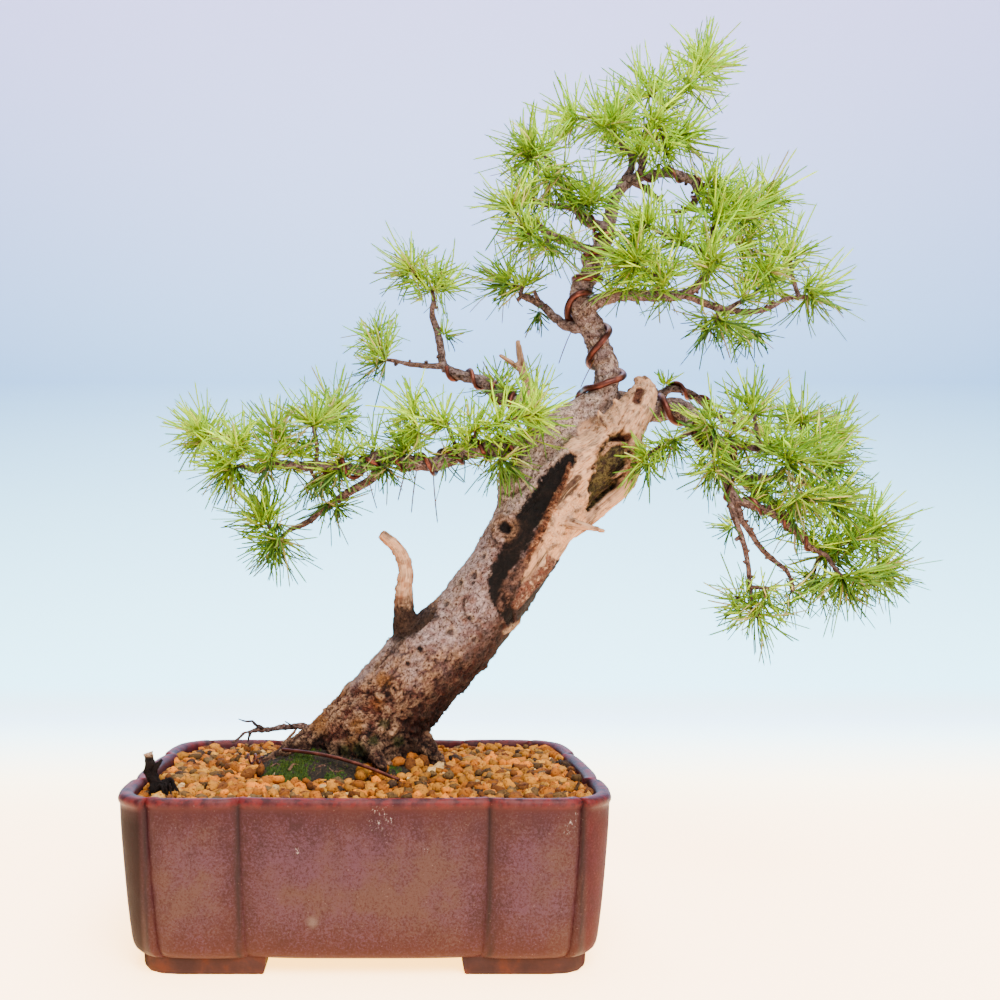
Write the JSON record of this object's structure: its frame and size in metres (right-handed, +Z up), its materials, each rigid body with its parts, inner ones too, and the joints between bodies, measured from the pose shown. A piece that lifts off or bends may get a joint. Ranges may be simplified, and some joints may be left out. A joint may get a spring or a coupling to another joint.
{
  "type": "european larch bonsai",
  "caption": "Old larch bonsai with a leaning trunk, bleached dead wood, wired branches and soft green needle tufts, planted in a lobed rectangular glazed pot of clay granules",
  "frame": {"origin": "under the middle of the part's box, on the surface that the pot stands on; the middle of the pot is 94 mm from it towards -X", "axes": "+X to the right as seen from the front, the way the trunk leans; +Y away from the front; +Z up"},
  "size_m": [0.4343, 0.1794, 0.4969],
  "materials": {
    "glaze": "satin",
    "akadama": "matte",
    "moss": "matte",
    "bark": "matte",
    "old_root": "matte",
    "copper_wire": "satin",
    "needles": "satin"
  },
  "bodies": {
    "root": {"pot": "glaze", "soil": "akadama", "moss_mound": "moss", "tree": "bark", "corner_root": "old_root", "wire_leader": "copper_wire", "wire_left": "copper_wire", "wire_upper_left": "copper_wire", "wire_crown_left": "copper_wire", "wire_bough": "copper_wire", "wire_thin_upper": "copper_wire", "wire_bough_front": "copper_wire", "wire_loose": "copper_wire", "spray_left_tip": "needles", "spray_left_upright": "needles", "spray_left_mid": "needles", "spray_left_droop": "needles", "spray_left_hang": "needles", "spray_upper_left_top": "needles", "spray_upper_left_star": "needles", "spray_centre_shoot": "needles", "spray_centre_long": "needles", "spray_centre_hang": "needles", "spray_centre_back": "needles", "spray_left_back": "needles", "spray_crown_left_tip": "needles", "spray_crown_left_inner": "needles", "spray_crown_left_back": "needles", "spray_crown_left_front": "needles", "spray_side_branch_tip": "needles", "spray_top_tip": "needles", "spray_top_mid": "needles", "spray_top_front": "needles", "spray_top_left": "needles", "spray_top_right": "needles", "spray_loop_tip": "needles", "spray_top_back": "needles", "spray_crown_right_shoot": "needles", "spray_crown_right_big": "needles", "spray_crown_right_star": "needles", "spray_crown_right_up": "needles", "spray_crown_right_mid": "needles", "spray_crown_right_tip_up": "needles", "spray_crown_right_tip": "needles", "spray_crown_right_under": "needles", "spray_crown_right_back": "needles", "spray_crown_right_deep": "needles", "spray_bough_inner": "needles", "spray_bough_left": "needles", "spray_bough_up": "needles", "spray_bough_up_two": "needles", "spray_bough_star": "needles", "spray_bough_fringe": "needles", "spray_bough_tip": "needles", "spray_bough_low": "needles", "spray_bough_under": "needles", "spray_bough_back": "needles", "spray_bough_back_up": "needles", "spray_hanging_tip": "needles", "spray_hanging_right": "needles"}
  },
  "joints": []
}
